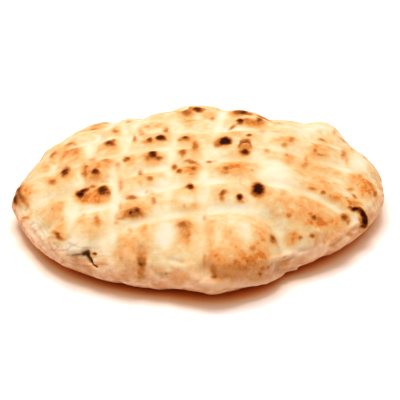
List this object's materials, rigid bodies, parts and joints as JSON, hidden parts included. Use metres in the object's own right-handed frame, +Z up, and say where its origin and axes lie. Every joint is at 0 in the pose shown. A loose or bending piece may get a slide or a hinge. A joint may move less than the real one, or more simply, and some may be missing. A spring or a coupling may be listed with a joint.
{
  "type": "somun flatbread",
  "caption": "Round puffed yeast flatbread with a pressed lattice of shallow grooves, toasted cells, dark blisters and a small tear low on the rim.",
  "frame": {"origin": "on the surface that the loaf rests on, under the middle of its bounding box", "axes": "+Z up through the crown, +X to the right and +Y to the back as seen from the torn side"},
  "size_m": [0.2, 0.194, 0.0417],
  "materials": {
    "crust": "matt baked crust, pale golden with toasted and scorched patches"
  },
  "bodies": {
    "root": {"somun": "crust"}
  },
  "joints": []
}
